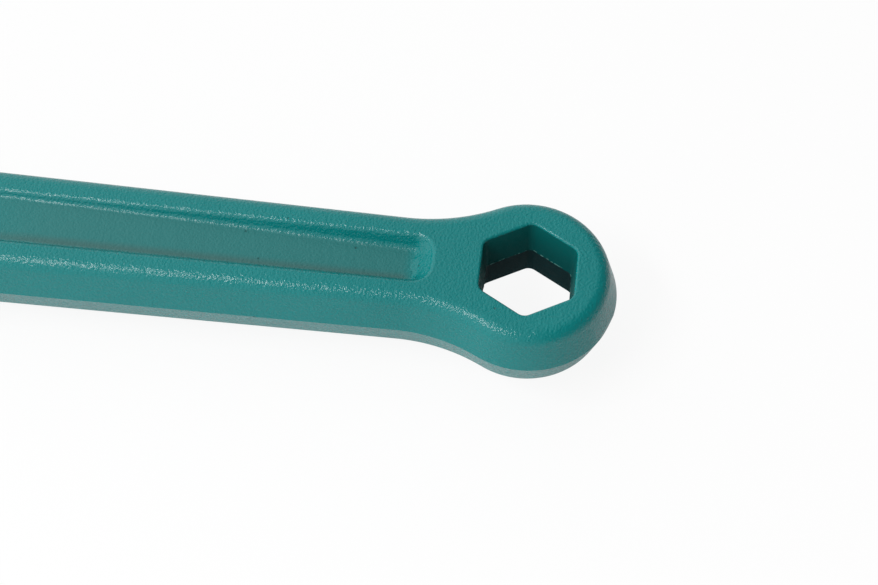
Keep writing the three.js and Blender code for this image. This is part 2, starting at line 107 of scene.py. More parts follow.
def arc(x, y, radius, start, end, step=4):
    """Points round a centre, from one angle to another in degrees."""
    count = max(2, math.ceil(abs(end - start) / step))
    turns = [math.radians(start + (end - start) * k / count) for k in range(count + 1)]
    return [Vector((x + radius * math.cos(a), y + radius * math.sin(a))) for a in turns]


def curve(*handles, count=24):
    """Points of a Bezier curve with these handles."""
    degree = len(handles) - 1
    points = []
    for k in range(count + 1):
        t = k / count
        shares = [math.comb(degree, i) * t**i * (1 - t) ** (degree - i) for i in range(degree + 1)]
        points.append(sum((Vector(h) * s for h, s in zip(handles, shares)), Vector((0, 0))))
    return points


def chain(*runs, longest=3.0):
    """Runs of points as one chain with no repeats and no long steps."""
    points = [Vector(p) for run in runs for p in run]
    made = [points[0]]
    for point in points[1:]:
        gap = (point - made[-1]).length
        if gap < 0.02:
            continue
        start, count = made[-1], math.ceil(gap / longest)
        made += [start.lerp(point, k / count) for k in range(1, count + 1)]
    return made


def inset_point(ring, k, inset):
    """A point of an outline, drawn in square to the two edges beside it."""
    before, here, after = ring[k - 1], ring[k], ring[(k + 1) % len(ring)]
    a = Vector((here.y - before.y, before.x - here.x)).normalized()
    b = Vector((after.y - here.y, here.x - after.x)).normalized()
    return here - (a + b) * (inset / (1 + a.dot(b)))


def zipped(back, front):
    """Triangles across an outline made of two chains that both run along -X from one tip."""
    total = len(back) + len(front) - 1
    place = lambda j: 0 if j == 0 else total - j
    triangles, i, j = [], 0, 1
    while i < len(back) - 1 or j < len(front) - 1:
        behind = j == len(front) - 1 or (i < len(back) - 1 and back[i + 1].x > front[j + 1].x)
        if behind:
            triangles.append((i, i + 1, place(j)))
            i += 1
        else:
            triangles.append((i, place(j + 1), place(j)))
            j += 1
    return triangles


def sleeve(last, sides):
    """Faces between one ring of points and the next, up to the ring that starts at the last."""
    return [
        (low + k, low + (k + 1) % sides, low + sides + (k + 1) % sides, low + sides + k)
        for low in range(0, last, sides) for k in range(sides)
    ]


def tube(rings, sides):
    """Faces of a closed tube whose points come ring by ring, with a flat face on each end."""
    last = (rings - 1) * sides
    faces = [tuple(range(sides)), tuple(range(last, last + sides))]
    return faces + sleeve(last, sides)


def loft(name, ring, levels, caps=None):
    """A solid whose outline is drawn in at each level, as a pattern's draft and radii do it.
    An inset or a height is a number, or a function of the outline's point."""
    area = sum(ring[k - 1].cross(ring[k]) for k in range(len(ring)))
    ring = ring if area > 0 else ring[::-1]
    value = lambda size, here: size(here) if callable(size) else size
    points = []
    for inset, height in levels:
        for k, here in enumerate(ring):
            at = inset_point(ring, k, value(inset, here))
            points.append((at.x, at.y, value(height, here)))
    top = (len(levels) - 1) * len(ring)
    faces = sleeve(top, len(ring))
    for cap in caps or [tuple(range(len(ring)))]:
        faces += [cap[::-1], tuple(top + k for k in cap)]
    return solid(name, points, faces)


def combine(body, tool, how="DIFFERENCE"):
    """Cuts a tool from a body or joins it on, and takes the tool away. New faces keep its finish."""
    step = body.modifiers.new(how, "BOOLEAN")
    step.operation, step.solver, step.object = how, "MANIFOLD", tool
    step.material_mode = "TRANSFER"
    made = body.evaluated_get(bpy.context.evaluated_depsgraph_get())
    body.data = bpy.data.meshes.new_from_object(made)
    body.modifiers.clear()
    bpy.data.objects.remove(tool)


def round_rim(radius, draft, top, steps=6):
    """Levels where a cut's drafted wall rounds over onto the face that it opens on."""
    reach = radius * math.tan(math.radians(90 - draft) / 2)
    levels = []
    for k in range(steps + 1):
        turn = math.radians((90 - draft) * (1 - k / steps) + 8 * k / steps)
        levels.append((radius * math.sin(turn) - reach, top - radius * (1 - math.cos(turn))))
    return levels + [(-reach - 0.05, top + 1)]


def smooth(body, sharp=24):
    """Shades a machined or cast solid smooth, with creases where it turns sharply."""
    body.data.polygons.foreach_set("use_smooth", [True] * len(body.data.polygons))
    body.data.set_sharp_from_angle(angle=math.radians(sharp))
    flat = body.modifiers.new("Flat faces stay flat", "WEIGHTED_NORMAL")
    flat.keep_sharp = True


def turned(name, axis, middle, profile, sides=40):
    """A lathe-turned or drilled solid: distances along an axis, and the radius at each."""
    points = []
    for along, radius in profile:
        for k in range(sides):
            a = 2 * math.pi * k / sides
            across = [radius * math.cos(a), radius * math.sin(a)]
            across.insert("XYZ".index(axis), along)
            points.append(Vector(across) + middle)
    return solid(name, points, tube(len(profile), sides))


def block(name, x0, x1, y0, y1, z0, z1):
    """A milling cutter's straight way, between two values on each axis."""
    ring = [Vector(p) for p in ((x0, y0), (x1, y0), (x1, y1), (x0, y1))]
    return loft(name, ring, [(0, z0), (0, z1)])


heel_low, heel_high = box_of("heel_jaw")
nut_low, nut_high = box_of("adjusting_nut")
teeth_x = heel_low.x
shank_y = (nut_low.y + nut_high.y) / 2
housing_back = (handle_high.y - hole.y) / MM
housing_half = (handle_high.z - hole.z) / MM
head_x = teeth_x + BRIDGE_END
collar_x = teeth_x + COLLAR_TOP


def head_share(x):
    """0 along the grip and 1 in the head, and smooth between them."""
    start = NECK_START - NECK_RUN_IN
    t = min(max((x - start) / (head_x - start), 0), 1)
    return t * t * (3 - 2 * t)


grip_edge = lambda x: GRIP_HALF_WIDTH - GRIP_TAPER * x
thicker = lambda x: 1 + (housing_half / GRIP_HALF_THICKNESS - 1) * head_share(x)
steeper = lambda x: 1 - HEAD_INSET_SHARE * head_share(x)

EYE_NECK = -27
fillet_width = grip_edge(EYE_NECK)
fillet_x = -math.sqrt((EYE_RADIUS - fillet_width) * (EYE_RADIUS + fillet_width + 2 * EYE_FILLET))
fillet_y = fillet_width + EYE_FILLET
tangent = math.degrees(math.atan2(fillet_y, fillet_x))
eye_edge = arc(0, 0, EYE_RADIUS, 0, tangent, 2.5)
eye_edge += arc(fillet_x, fillet_y, EYE_FILLET, tangent - 180, -90, 2)

ease = (NECK_START - NECK_END) / 2
wall_y = housing_back - HOUSING_BOW
back = chain(
    eye_edge,
    curve(
        (NECK_START, grip_edge(NECK_START)), (NECK_START - ease, grip_edge(NECK_START)),
        (NECK_END + ease, NECK_BACK), (NECK_END, NECK_BACK),
    ),
    arc(head_x + HEAD_CORNER, NECK_BACK + HEAD_CORNER, HEAD_CORNER, -90, -180, 6),
    arc(head_x - HEAD_CORNER, wall_y - HEAD_CORNER, HEAD_CORNER, 0, 90, 6),
    curve(
        (head_x - HEAD_CORNER, wall_y),
        ((head_x + collar_x) / 2, housing_back + HOUSING_BOW),
        (collar_x + HEAD_CORNER, wall_y),
    ),
    arc(collar_x + HEAD_CORNER, wall_y - HEAD_CORNER, HEAD_CORNER, 90, 180, 6),
)

SEAT_HEIGHT = 14
FLARE_BELOW_HEAD = 22
FLARE_BELOW_SEAT = 20
flare_start = head_x + FLARE_BELOW_HEAD
flare_end = teeth_x + SEAT_HEIGHT + FLARE_BELOW_SEAT
ease = (flare_start - flare_end) / 2.2
front = chain(
    eye_edge,
    curve(
        (flare_start, grip_edge(flare_start)), (flare_start - ease, grip_edge(flare_start)),
        (flare_end + ease, HEAD_FRONT), (flare_end, HEAD_FRONT),
    ),
    arc(collar_x + HEAD_CORNER, HEAD_FRONT - HEAD_CORNER, HEAD_CORNER, 90, 180, 6),
)
front = [Vector((p.x, -p.y)) for p in front]

draft = math.radians(SIDE_DRAFT)
shoulder_z = GRIP_HALF_THICKNESS - SHOULDER * (1 - math.sin(draft))
side = [(0, 0)]
for k in range(13):
    turn = draft + (math.pi / 2 - draft) * k / 12
    inset = shoulder_z * math.tan(draft) + SHOULDER * (math.cos(draft) - math.cos(turn))
    side.append((inset, shoulder_z + SHOULDER * (math.sin(turn) - math.sin(draft))))
side = [(inset, -height) for inset, height in side[:0:-1]] + side
handle = loft(
    "casting",
    back + front[:0:-1],
    [
        (lambda p, i=inset: i * steeper(p.x), lambda p, h=height: h * thicker(p.x))
        for inset, height in side
    ],
    zipped(back, front),
)


class Socket:
    """One output among shader nodes. Sums with it add Math nodes."""

    def __init__(self, nodes, output):
        self.nodes, self.output = nodes, output

    def maths(self, operation, *values):
        return self.nodes.node("ShaderNodeMath", {"operation": operation}, dict(enumerate(values)))

    def __add__(self, other):
        return self.maths("ADD", self, other)

    def __sub__(self, other):
        return self.maths("SUBTRACT", self, other)

    def __rsub__(self, other):
        return self.maths("SUBTRACT", other, self)

    def __mul__(self, other):
        return self.maths("MULTIPLY", self, other)

    def __gt__(self, other):
        return self.maths("GREATER_THAN", self, other)

    def __abs__(self):
        return self.maths("ABSOLUTE", self)

    __radd__, __rmul__ = __add__, __mul__


class Nodes:
    """The shader nodes of a material or of the room."""

    def __init__(self, tree):
        self.tree = tree

    def node(self, kind, settings=None, values=None, output=0):
        """Any node: its settings first, then the values or links of its sockets."""
        made = self.tree.nodes.new(kind)
        for key, setting in (settings or {}).items():
            if key == "stops":
                ramp = made.color_ramp
                while len(ramp.elements) < len(setting):
                    ramp.elements.new(1)
                for spot, (position, tone) in zip(ramp.elements, setting):
                    spot.position, spot.color = position, tone
            else:
                setattr(made, key, setting)
        for key, value in (values or {}).items():
            self.feed(made.inputs[key], value)
        return Socket(self, made.outputs[output])

    def feed(self, socket, value):
        if isinstance(value, Socket):
            self.tree.links.new(value.output, socket)
        else:
            socket.default_value = value


class Finish(Nodes):
    """A material built from one Principled shader and the nodes that vary it."""

    def __init__(self, name, **constants):
        self.material = bpy.data.materials.new(name)
        self.material.use_nodes = True
        super().__init__(self.material.node_tree)
        self.shader = self.tree.nodes["Principled BSDF"]
        for key, value in constants.items():
            self.shader.inputs[key.replace("_", " ")].default_value = value
        metres = self.node("ShaderNodeTexCoord", output="Object")
        away = self.node("ShaderNodeVectorMath", {"operation": "SUBTRACT"}, {0: metres, 1: hole})
        self.place = self.node("ShaderNodeVectorMath", {"operation": "SCALE"}, {0: away, "Scale": 1 / MM})

    def set(self, name, value):
        self.feed(self.shader.inputs[name], value)

    def grain(self, size, detail=2.0, roughness=0.5, stretch=(1, 1, 1)):
        """Noise from 0 to 1 whose features are about this many millimetres across."""
        place = self.place
        if stretch != (1, 1, 1):
            place = self.node("ShaderNodeVectorMath", {"operation": "MULTIPLY"}, {0: place, 1: stretch})
        values = {"Vector": place, "Scale": 1 / size, "Detail": detail, "Roughness": roughness}
        return self.node("ShaderNodeTexNoise", {}, values)

    def spots_of(self, spacing, radius):
        """1 inside small round spots about a spacing apart, and 0 elsewhere."""
        values = {"Vector": self.place, "Scale": 1 / spacing, "Randomness": 1}
        far = self.node("ShaderNodeTexVoronoi", {}, values)
        return self.steps(far, radius / spacing, 0.6 * radius / spacing)

    def steps(self, value, start, end):
        """0 at one value and 1 at another, and smooth between them."""
        settings = {"interpolation_type": "SMOOTHSTEP"}
        values = {"Value": value, "From Min": start, "From Max": end}
        return self.node("ShaderNodeMapRange", settings, values)

    def blend(self, share, one, other):
        """One colour where the share is 0 and the other where it is 1."""
        return self.node(
            "ShaderNodeMix", {"data_type": "RGBA"}, {0: share, 6: one, 7: other}, output=2
        )

    def apart(self, axis):
        """One coordinate of the surface, in millimetres from the hexagonal hole's middle."""
        return self.node("ShaderNodeSeparateXYZ", {}, {0: self.place}, output=axis)

    def relief(self, height):
        """Raises the surface by a height in millimetres."""
        values = {"Height": height, "Distance": MM}
        self.set("Normal", self.node("ShaderNodeBump", {}, values))


def colour(red, green, blue):
    """A colour from its 0 to 255 display values."""
    shares = [value / 255 for value in (red, green, blue)]
    linear = [((c + 0.055) / 1.055) ** 2.4 if c > 0.04 else c / 12.92 for c in shares]
    return (*linear, 1)


# Semi-gloss enamel sprayed straight on the blasted casting, so its orange peel and the sand's
# grain both show. Paint lies thinner and greyer on the channels' floors.
CHANNEL_START = -20.4
CHANNEL_END = -146.0
FLOOR_TAPER = 0.0185
NEAR_WALL_SHADE_TAPER = 0.012
grip_half = GRIP_HALF_THICKNESS
enamel = Finish("teal enamel", IOR=1.4)
along, side_y, up = (enamel.apart(axis) for axis in "XYZ")
sunk = enamel.steps(abs(up), grip_half - 0.9, grip_half - 1.5)
on_floor = enamel.steps(abs(side_y) + along * FLOOR_TAPER, 3.9, 2.7)
from_eye = enamel.steps(along, CHANNEL_START - 3.6, CHANNEL_START - 6.6)
in_channel = sunk * on_floor * from_eye * (along > CHANNEL_END - 1)
near_wall_shade = in_channel * enamel.steps(side_y - along * NEAR_WALL_SHADE_TAPER, -1.2, -3.4)
peel = enamel.grain(0.55, 1.5, 0.55)
sand = enamel.grain(2.4, 3, 0.55)
clouds = enamel.grain(22, 2, 0.5)
pits = enamel.spots_of(5.5, 0.28)
dust = enamel.spots_of(9, 0.2)
teal = enamel.blend(clouds, colour(4, 117, 117), colour(12, 127, 127))
teal = enamel.blend(sand * 0.25, teal, colour(4, 108, 108))
teal = enamel.blend(in_channel * 0.6, teal, colour(46, 110, 108))
# Painted shade: the floor is darker and browner towards the channel's near wall.
teal = enamel.blend(near_wall_shade * 0.6, teal, colour(62, 92, 88))
teal = enamel.blend(pits * 0.55, teal, colour(16, 62, 62))
teal = enamel.blend(dust * 0.5, teal, colour(140, 168, 160))
enamel.set("Base Color", teal)
enamel.set("Roughness", 0.13 + peel * 0.1 + in_channel * 0.12)
coat = peel * (0.19 - in_channel * 0.08)
enamel.relief(coat + sand * 0.1 - pits * 0.12 + dust * 0.06)

# Down the hexagonal hole the enamel's colours are painted shade: darker from the rim down to the parting
# line, and much darker below it, where the paint is also thinly spread.
hole_enamel = Finish("hole enamel with painted shade", Roughness=0.6, IOR=1.15)
depth = hole_enamel.apart("Z")
worn = hole_enamel.grain(1.2, 3, 0.6)
below = hole_enamel.steps(depth + worn * 0.3, 0.5, -0.5)
# Painted shade: darker from the rim down towards the parting line.
shade_down_hole = hole_enamel.blend(hole_enamel.steps(depth, 8, 1), colour(2, 92, 90), colour(2, 84, 83))
# Painted shade below the parting line, where the paint is also thinly spread.
shade_and_thin_paint_below = hole_enamel.blend(below, shade_down_hole, colour(5, 46, 49))
# A paler line along the flash: a painted highlight, and paint rubbed off it in dashes.
ridge = hole_enamel.steps(abs(depth), 0.17, 0.1)
flash_glint_and_wear = ridge * hole_enamel.steps(hole_enamel.grain(0.9, 1.5, 0.5), 0.48, 0.56)
hole_enamel.set("Base Color", hole_enamel.blend(flash_glint_and_wear * 0.85, shade_and_thin_paint_below, colour(104, 156, 150)))
hole_enamel.relief(worn * 0.05)

handle.data.materials.append(enamel.material)

# The hexagonal hole is drafted both ways from the parting line, where a thin flash is left.
HOLE_FLAT = 9.3
HOLE_DRAFT = 4.4
HOLE_CORNER = 1.6
HOLE_RIM = 0.55
FLASH_EDGE = 0.06
FLASH_ROOT = 0.2
corner_reach = (HOLE_FLAT - HOLE_CORNER) / math.cos(math.radians(30))
hexagon = []
for corner in range(30, 390, 60):
    middle = Vector((math.cos(math.radians(corner)), math.sin(math.radians(corner)))) * corner_reach
    hexagon += arc(middle.x, middle.y, HOLE_CORNER, corner - 30, corner + 30, 5)
hexagon = chain(hexagon, longest=0.8)
slope = math.tan(math.radians(HOLE_DRAFT))
flash = lambda p: 0.02 + 0.2 * max(0, noise.noise(Vector((p.x, p.y, 0)) * 0.9) + 0.15)
half = [(flash, FLASH_EDGE), (-FLASH_ROOT * slope, FLASH_ROOT)]
half += [(inset - grip_half * slope, z) for inset, z in round_rim(HOLE_RIM, HOLE_DRAFT, grip_half)]
tool = loft("hexagonal_hole", hexagon, [(inset, -z) for inset, z in half[::-1]] + half)
for finish in (hole_enamel, enamel):
    tool.data.materials.append(finish.material)
for face in tool.data.polygons:
    face.material_index = abs((face.center.z - hole.z) / MM) > grip_half - HOLE_RIM
combine(handle, tool)

# A channel runs down each side of the grip and gets shallower towards the head.
CHANNEL_HALF_WIDTH = 5.55
CHANNEL_TAPER = 0.006
CHANNEL_SHALLOW = 0.9
CHANNEL_DEEPER = 2.7
CHANNEL_DRAFT = 25
CHANNEL_CORNER = 4.2
RIM = 1.4
channel_edge = lambda x: CHANNEL_HALF_WIDTH - CHANNEL_TAPER * x
towards_eye = lambda p: max(0, (p.x - CHANNEL_END) / (CHANNEL_START - CHANNEL_END))
channel_depth = lambda p: CHANNEL_SHALLOW + CHANNEL_DEEPER * towards_eye(p) ** 1.5
floor_round = lambda p: 0.35 * channel_depth(p) + 0.7
first, last = CHANNEL_START - CHANNEL_CORNER, CHANNEL_END + CHANNEL_CORNER
upper = chain(
    [(CHANNEL_START, 0)],
    arc(first, channel_edge(first) - CHANNEL_CORNER, CHANNEL_CORNER, 0, 90, 6),
    arc(last, channel_edge(last) - CHANNEL_CORNER, CHANNEL_CORNER, 90, 180, 6),
)
lower = [Vector((p.x, -p.y)) for p in upper]
lean = math.tan(math.radians(CHANNEL_DRAFT))
bend = math.tan(math.radians(90 - CHANNEL_DRAFT) / 2)
ramp = lambda p: 1 + 1.1 * min(max((p.x - first) / CHANNEL_CORNER, 0), 1)
levels = []
for k in range(8):
    turn = math.radians(90 - (90 - CHANNEL_DRAFT) * k / 7)
    levels.append((
        lambda p, a=turn: ramp(p) * (channel_depth(p) * lean + floor_round(p) * (bend - math.cos(a))),
        lambda p, a=turn: grip_half - channel_depth(p) + floor_round(p) * (1 - math.sin(a)),
    ))
levels += round_rim(RIM, CHANNEL_DRAFT, grip_half)
downwards = [(inset, (lambda p, z=z: -z(p)) if callable(z) else -z) for inset, z in levels]
for side_name, side_levels in (("channel_top", levels), ("channel_bottom", downwards)):
    tool = loft(side_name, upper + lower[:0:-1], side_levels, zipped(upper, lower))
    tool.data.materials.append(enamel.material)
    combine(handle, tool)

# The housing is open from side to side round the nut, and from end to end for the shank.
WINDOW_CORNER = 2
ROCK = math.tan(math.radians(3))
GAP = 0.3
PIN_GAP = 0.15
SLIDE_GAP = 0.4
nut_radius, nut_length = (nut_high.y - nut_low.y) / 2, nut_high.x - nut_low.x
nut_x = (nut_low.x + nut_high.x) / 2
window_half_x = nut_length / 2 + nut_radius * ROCK + GAP
window_half_y = nut_radius + nut_length / 2 * ROCK + GAP
cx, cy = window_half_x - WINDOW_CORNER, window_half_y - WINDOW_CORNER
window = chain(
    arc(nut_x + cx, shank_y + cy, WINDOW_CORNER, 0, 90, 9),
    arc(nut_x - cx, shank_y + cy, WINDOW_CORNER, 90, 180, 9),
    arc(nut_x - cx, shank_y - cy, WINDOW_CORNER, 180, 270, 9),
    arc(nut_x + cx, shank_y - cy, WINDOW_CORNER, 270, 360, 9),
)
half = [(0, 0)] + round_rim(RIM, 0, housing_half)
tool = loft("window", window, [(inset, -z) for inset, z in half[:0:-1]] + half)
tool.data.materials.append(enamel.material)
combine(handle, tool)

SHANK_THICKNESS = 13
THREAD_RADIUS = 13
STRIP = 1
LIP_RUN = 2.2
COLLAR_ROCK = (nut_x - teeth_x - COLLAR_TOP + LIP_RUN) * ROCK
shank_front, shank_back = shank_y - THREAD_RADIUS, shank_y + THREAD_RADIUS
strip_back = shank_front - GAP
strip_front = strip_back - STRIP
passage_front = strip_front - COLLAR_ROCK - GAP
window_end = nut_x + window_half_x
opening = SHANK_THICKNESS / 2 + SLIDE_GAP
bridge_rock = (head_x - nut_x) * ROCK
tools = [
    block("collar_way", teeth_x - CUT_RUN, nut_x - window_half_x + 0.5,
          passage_front, shank_back + SLIDE_GAP, -opening, opening),
    block("bridge_way", window_end - 0.5, head_x + 2 * HEAD_CORNER,
          shank_front - SLIDE_GAP, shank_back + bridge_rock + SLIDE_GAP, -opening, opening),
]

# The heel jaw's seat and the slot for its tongue are milled.
TONGUE_Y = -13
TONGUE_WIDTH = 11.4
TONGUE_THICKNESS = 9
seat_x = teeth_x + SEAT_HEIGHT
tools += [
    block("seat", teeth_x - CUT_RUN, seat_x,
          -HEAD_FRONT - CUT_RUN, heel_high.y + SLIDE_GAP, -20, 20),
    block("tongue_slot", seat_x - 0.5, heel_high.x + SLIDE_GAP,
          TONGUE_Y - TONGUE_WIDTH / 2 - GAP, TONGUE_Y + TONGUE_WIDTH / 2 + GAP,
          -TONGUE_THICKNESS / 2 - GAP, TONGUE_THICKNESS / 2 + GAP),
]
pin_low, pin_high = box_of("heel_jaw_pin")
pin_x, pin_y = (pin_low.x + pin_high.x) / 2, (pin_low.y + pin_high.y) / 2
pin_radius = (pin_high.x - pin_low.x) / 2
countersink = round_rim(0.5, 0, housing_half)
pin_ring = arc(pin_x, pin_y, pin_radius + PIN_GAP, 0, 352.5, 7.5)
half = [(0, 0)] + countersink
tools.append(loft("pin_hole", pin_ring, [(inset, -z) for inset, z in half[:0:-1]] + half))

# A pocket for the coil spring is drilled from the collar's passage.
POCKET_DEPTH = 10.5
coil_low, coil_high = box_of("coil_spring")
spring_x = (coil_low.x + coil_high.x) / 2
pocket_radius = (coil_high.x - coil_low.x) / 2 + SLIDE_GAP
pocket = [(passage_front - POCKET_DEPTH, pocket_radius), (passage_front + 0.5, pocket_radius)]
tools.append(turned("spring_pocket", "Y", Vector((spring_x, 0, 0)), pocket, 48))

# The gate, where iron ran into the eye's mould, was ground off flush.
GATE_ANGLE = math.radians(-22)
GATE_GROUND = 0.33
out = Vector((math.cos(GATE_ANGLE), math.sin(GATE_ANGLE)))
beside = Vector((-out.y, out.x))
near, far = out * (EYE_RADIUS - GATE_GROUND), out * (EYE_RADIUS + CUT_RUN)
wheel = beside * 10
grind = [near - wheel, far - wheel, far + wheel, near + wheel]
tools.append(loft("gate", grind, [(0, -9), (0, 9)]))

for tool in tools:
    tool.data.materials.append(enamel.material)
    combine(handle, tool)
smooth(handle)
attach(handle, "handle")
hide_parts("handle")


# ---------- Heel jaw ----------
# A drop-forged block of alloy steel, hardened, with teeth broached across its face. It sits on
# the casting's milled seat, and its tongue goes down into the slot.

JAW_HALF_WIDTH = (heel_high.z - heel_low.z) / 2
HEEL_EDGE = 1.1
TOOTH_PITCH = 2.6
TOOTH_DEPTH = 1.3
TOOTH_TIP = 0.22
TOOTH_SKIM = 0.06
TOOTH_STEEP = 0.28
TOOTH_ROOT = 0.34


def rounded(half_height, radius, steps=6):
    """Levels of a flat piece whose outline's edges are rounded over on both sides."""
    half = []
    for k in range(steps + 1):
        turn = math.radians(90 * k / steps)
        half.append((radius * (1 - math.cos(turn)), half_height - radius * (1 - math.sin(turn))))
    return [(inset, -height) for inset, height in half[::-1]] + half


def teeth(name, count, lean, foot, into):
    """The broach's cut: a row of saw-tooth grooves from a foot, and the face skimmed between."""
    side = 1 if into > 0 else -1
    skim = side * TOOTH_SKIM
    ring = [(-side * 2, 0)]
    for k in range(count):
        y = k * TOOTH_PITCH
        ring += [(skim, y + TOOTH_TIP * (k > 0)), (into, y + TOOTH_STEEP * TOOTH_PITCH)]
        ring += [(into, y + TOOTH_ROOT * TOOTH_PITCH), (skim, y + TOOTH_PITCH)]
    ring.append((-side * 2, count * TOOTH_PITCH))
    slant = Matrix.Rotation(lean, 2)
    reach = JAW_HALF_WIDTH + 2
    return loft(name, [slant @ Vector(p) + foot for p in ring], [(0, -reach), (0, reach)])


# Forged and blackened: mill scale over a slightly pitted skin, rubbed to brown-grey in places.
forged = Finish("blackened forging", Metallic=0.75)
scale = forged.grain(1.1, 4, 0.62)
patches = forged.grain(9, 3, 0.55)
hollows = forged.spots_of(3.1, 0.4)
black = forged.blend(forged.steps(patches, 0.35, 0.65), colour(58, 58, 62), colour(78, 74, 72))
black = forged.blend(forged.steps(scale, 0.55, 0.75) * 0.6, black, colour(104, 100, 98))
forged.set("Base Color", forged.blend(hollows * 0.6, black, colour(36, 33, 33)))
forged.set("Roughness", 0.34 + scale * 0.28)
forged.relief(scale * 0.05 + patches * 0.12 - hollows * 0.08)

# Broached and ground faces are bright, with fine lines along the cut.
ground = Finish("ground steel", Metallic=1.0)
lines = ground.grain(0.35, 3, 0.6, (1, 1, 0.06))
stains = ground.grain(5, 3, 0.6)
bright = ground.blend(lines, colour(150, 150, 152), colour(186, 186, 188))
stained = ground.steps(stains, 0.5, 0.8) * 0.6
ground.set("Base Color", ground.blend(stained, bright, colour(118, 108, 98)))
ground.set("Roughness", 0.24 + lines * 0.2)
ground.relief(lines * 0.02)

heel_front, heel_back = heel_low.y, heel_high.y
heel_foot = seat_x - GAP
outline = chain(
    arc(heel_foot - 0.6, heel_back - 0.6, 0.6, 0, 90, 15),
    arc(teeth_x + 0.8, heel_back - 0.8, 0.8, 90, 180, 15),
    arc(teeth_x + 2, heel_front + 2, 2, 180, 270, 9),
    arc(heel_foot - 0.6, heel_front + 0.6, 0.6, 270, 360, 15),
)
heel_jaw = loft("heel_block", outline, rounded(JAW_HALF_WIDTH, HEEL_EDGE))
heel_jaw.data.materials.append(forged.material)
ring = chain(
    [(seat_x - 7, TONGUE_Y + TONGUE_WIDTH / 2)],
    [(seat_x - 7, TONGUE_Y - TONGUE_WIDTH / 2)],
    arc(heel_high.x - 1.5, TONGUE_Y - TONGUE_WIDTH / 2 + 1.5, 1.5, 270, 360, 15),
    arc(heel_high.x - 1.5, TONGUE_Y + TONGUE_WIDTH / 2 - 1.5, 1.5, 0, 90, 15),
)
tongue = loft("tongue", ring, rounded(TONGUE_THICKNESS / 2, 0.4, 3))
tongue.data.materials.append(forged.material)
combine(heel_jaw, tongue, "UNION")
count = int((heel_back - 0.5 - (heel_front + 1.5)) / TOOTH_PITCH)
comb = teeth("heel_teeth", count, 0, Vector((teeth_x, heel_front + 1.5)), TOOTH_DEPTH)
drill = loft("heel_bore", pin_ring, [(0, -20), (0, 20)])
for tool in (comb, drill):
    tool.data.materials.append(ground.material)
    combine(heel_jaw, tool)
smooth(heel_jaw)
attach(heel_jaw, "handle")
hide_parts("heel_jaw")


# ---------- Heel jaw's pin ----------
# A turned steel pin, zinc plated, driven through the casting and the tongue. Its ends are
# rounded, with the lathe's centre mark left in them.

zinc = Finish("zinc plate", Metallic=1.0)
spangle = zinc.grain(1.6, 3, 0.6)
handled = zinc.grain(0.5, 2, 0.6)
plated = zinc.blend(spangle, colour(186, 188, 192), colour(214, 216, 218))
dulled = zinc.steps(spangle, 0.6, 0.8) * 0.4
zinc.set("Base Color", zinc.blend(dulled, plated, colour(168, 164, 152)))
zinc.set("Roughness", 0.25 + handled * 0.22)
zinc.relief(handled * 0.012)

PIN_ROUND = 0.7
pin_end = pin_high.z
half = [(0, pin_radius)]
for degrees in range(0, 91, 15):
    turn = math.radians(degrees)
    back_off, draw_in = PIN_ROUND * (1 - math.sin(turn)), PIN_ROUND * (1 - math.cos(turn))
    half.append((pin_end - back_off, pin_radius - draw_in))
half += [(pin_end, 1.0), (pin_end - 0.5, 0.3)]
profile = [(-height, radius) for height, radius in half[:0:-1]] + half
pin = turned("pin", "Z", Vector((pin_x, pin_y, 0)), profile)
pin.data.materials.append(zinc.material)
smooth(pin)
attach(pin, "handle")
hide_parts("heel_jaw_pin")


# ---------- Hook jaw ----------
# One drop forging: a broad hook with broached teeth, and a flat shank. The thread is rolled on
# the shank's two narrow edges only, because its sides are flat.

THREAD_DEPTH = 1.8
THREAD_PITCH = 4
THREAD_CREST = 1.4
THREAD_ROOT = 2.57
HOOK_HEIGHT = 30
HOOK_TIP_HEIGHT = 12
HOOK_FOOT = 3.5
HOOK_EDGE = 1.9
TIP_CORNER = 2.5
FIN = 0.2
TAIL_CHAMFER = 2.2
HOOK_LEAN = math.radians(-3)
TEETH_FROM_TIP = 3
TEETH_FROM_ROOT = 2

hook_low, hook_high = box_of("hook_jaw")
hook_x = hook_low.x + HOOK_HEIGHT
tip_y = hook_low.y
root_y = shank_front - 2
face_at = lambda y: hook_x - (root_y - y) * ROCK
plain_front = shank_front + GAP


def thread_radius(x, angle, root, crest, crest_width, root_width):
    """The radius of a right-hand thread in step with the nut, with its crests and roots eased."""
    phase = (x - nut_x) / THREAD_PITCH - angle / (2 * math.pi)
    away = abs(phase - round(phase)) * THREAD_PITCH
    share = min(max((root_width / 2 - away) / (root_width / 2 - crest_width / 2), 0), 1)
    return root + (crest - root) * share * share * (3 - 2 * share)


outline = chain(
    [(face_at(root_y), root_y), (face_at(tip_y + TIP_CORNER), tip_y + TIP_CORNER)],
    curve((face_at(tip_y + TIP_CORNER), tip_y + TIP_CORNER), (face_at(tip_y), tip_y),
          (face_at(tip_y) - TIP_CORNER, tip_y), count=8),
    curve((hook_x - HOOK_TIP_HEIGHT, tip_y), (hook_x - HOOK_TIP_HEIGHT - 8, tip_y),
          (hook_low.x, (tip_y + root_y) / 2 - 4), (hook_low.x, shank_front - 4)),
    curve((hook_low.x, shank_front - 4), (hook_low.x, shank_y),
          (hook_x - 0.8 * HOOK_HEIGHT, shank_back), (hook_x - 0.25 * HOOK_HEIGHT, shank_back)),
    arc(hook_x + HOOK_FOOT - 2.4, shank_back - 2.4, 2.4, 90, 0, 10),
    [(hook_x + HOOK_FOOT, plain_front)],
    curve((hook_x + HOOK_FOOT, plain_front), (hook_x, plain_front), (face_at(root_y), root_y),
          count=10)[:-1],
    longest=4,
)
trim = [(inset + FIN, height) for inset, height in rounded(JAW_HALF_WIDTH, HOOK_EDGE)]
middle = len(trim) // 2
trim[middle:middle] = [(FIN, -0.35), (0, -0.2), (0, 0.2), (FIN, 0.35)]
hook_jaw = loft("hook", outline, trim)
hook_jaw.data.materials.append(forged.material)

